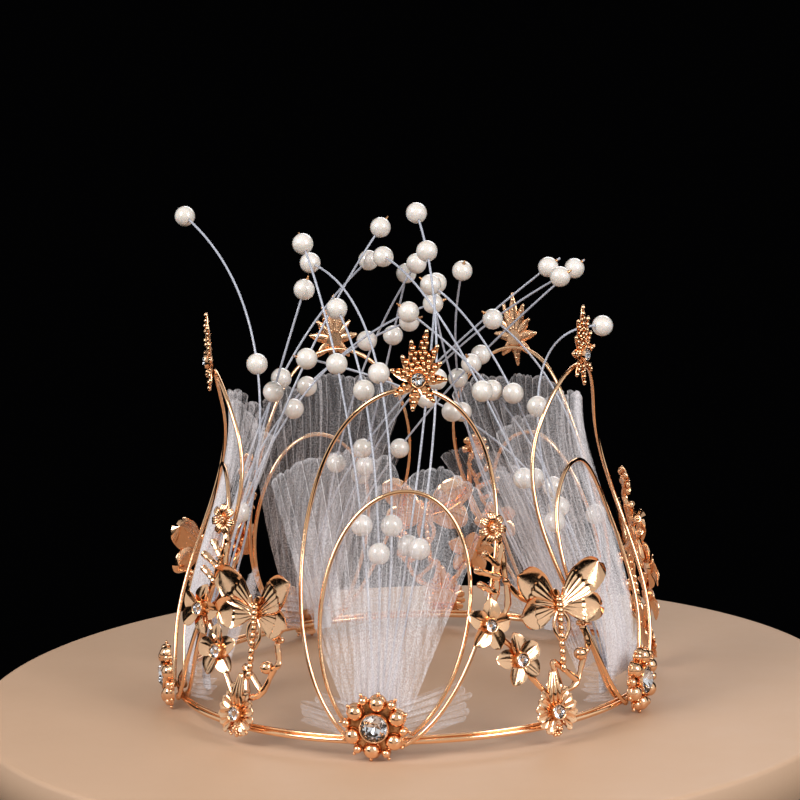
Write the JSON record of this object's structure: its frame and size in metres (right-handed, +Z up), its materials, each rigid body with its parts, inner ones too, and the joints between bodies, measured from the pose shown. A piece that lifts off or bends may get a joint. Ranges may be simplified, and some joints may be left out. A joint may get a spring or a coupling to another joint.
{
  "type": "crown",
  "caption": "Bridal wire crown with petal-shaped arches, flower, leaf and butterfly castings, pleated tulle fans and sprays of pearls on springy stems.",
  "frame": {"origin": "on the hoop's axis, level with the lowest ornaments that the crown stands on", "axes": "+Z up along the hoop's axis, -Y forward through the front petal"},
  "size_m": [0.1586, 0.1631, 0.1558],
  "materials": {
    "gold_wire": "polished rose-gold plated wire",
    "gold_casting": "polished rose-gold plated casting",
    "crystal": "clear faceted rhinestone",
    "pearl": "cream pearlescent bead",
    "nylon_stem": "translucent monofilament",
    "tulle": "sheer pleated tulle with fine glitter"
  },
  "bodies": {
    "crown_frame": {"hoop": "gold_wire", "hoop_top_wire": "gold_wire", "medallion_stones": "crystal", "leaf_stones": "crystal", "flower_stones": "crystal", "outer_arch_1": "gold_wire", "inner_arch_1": "gold_wire", "leaf_1": "gold_casting", "medallion_1": "gold_casting", "flower_branch_1": "gold_casting", "butterfly_1": "gold_casting", "tulle_front_1": "tulle", "tulle_back_1": "tulle", "outer_arch_2": "gold_wire", "inner_arch_2": "gold_wire", "leaf_2": "gold_casting", "medallion_2": "gold_casting", "flower_branch_2": "gold_casting", "butterfly_2": "gold_casting", "tulle_front_2": "tulle", "tulle_back_2": "tulle", "outer_arch_3": "gold_wire", "inner_arch_3": "gold_wire", "leaf_3": "gold_casting", "medallion_3": "gold_casting", "flower_branch_3": "gold_casting", "butterfly_3": "gold_casting", "tulle_front_3": "tulle", "tulle_back_3": "tulle", "outer_arch_4": "gold_wire", "inner_arch_4": "gold_wire", "leaf_4": "gold_casting", "medallion_4": "gold_casting", "flower_branch_4": "gold_casting", "butterfly_4": "gold_casting", "tulle_front_4": "tulle", "tulle_back_4": "tulle", "outer_arch_5": "gold_wire", "inner_arch_5": "gold_wire", "leaf_5": "gold_casting", "medallion_5": "gold_casting", "flower_branch_5": "gold_casting", "butterfly_5": "gold_casting", "tulle_front_5": "tulle", "tulle_back_5": "tulle"},
    "pearl_spray_1": {"pearl_stems_1": "nylon_stem", "pearls_1": "pearl"},
    "pearl_spray_2": {"pearl_stems_2": "nylon_stem", "pearls_2": "pearl"},
    "pearl_spray_3": {"pearl_stems_3": "nylon_stem", "pearls_3": "pearl"},
    "pearl_spray_4": {"pearl_stems_4": "nylon_stem", "pearls_4": "pearl"},
    "pearl_spray_5": {"pearl_stems_5": "nylon_stem", "pearls_5": "pearl"}
  },
  "joints": [
    {"name": "spray_sway_1", "type": "hinge", "parent": "crown_frame", "child": "pearl_spray_1", "pos_m": [0, -0.0665, 0.0095], "axis": [1, 0, 0], "range_deg": [-1, 1], "stiffness_Nm_per_rad": 0.1},
    {"name": "spray_sway_2", "type": "hinge", "parent": "crown_frame", "child": "pearl_spray_2", "pos_m": [0.06325, -0.02055, 0.0095], "axis": [0.309, 0.9511, 0], "range_deg": [-1, 1], "stiffness_Nm_per_rad": 0.1},
    {"name": "spray_sway_3", "type": "hinge", "parent": "crown_frame", "child": "pearl_spray_3", "pos_m": [0.03909, 0.0538, 0.0095], "axis": [-0.809, 0.5878, 0], "range_deg": [-1, 1], "stiffness_Nm_per_rad": 0.1},
    {"name": "spray_sway_4", "type": "hinge", "parent": "crown_frame", "child": "pearl_spray_4", "pos_m": [-0.03909, 0.0538, 0.0095], "axis": [-0.809, -0.5878, 0], "range_deg": [-1, 1], "stiffness_Nm_per_rad": 0.1},
    {"name": "spray_sway_5", "type": "hinge", "parent": "crown_frame", "child": "pearl_spray_5", "pos_m": [-0.06325, -0.02055, 0.0095], "axis": [0.309, -0.9511, 0], "range_deg": [-1, 1], "stiffness_Nm_per_rad": 0.1}
  ]
}
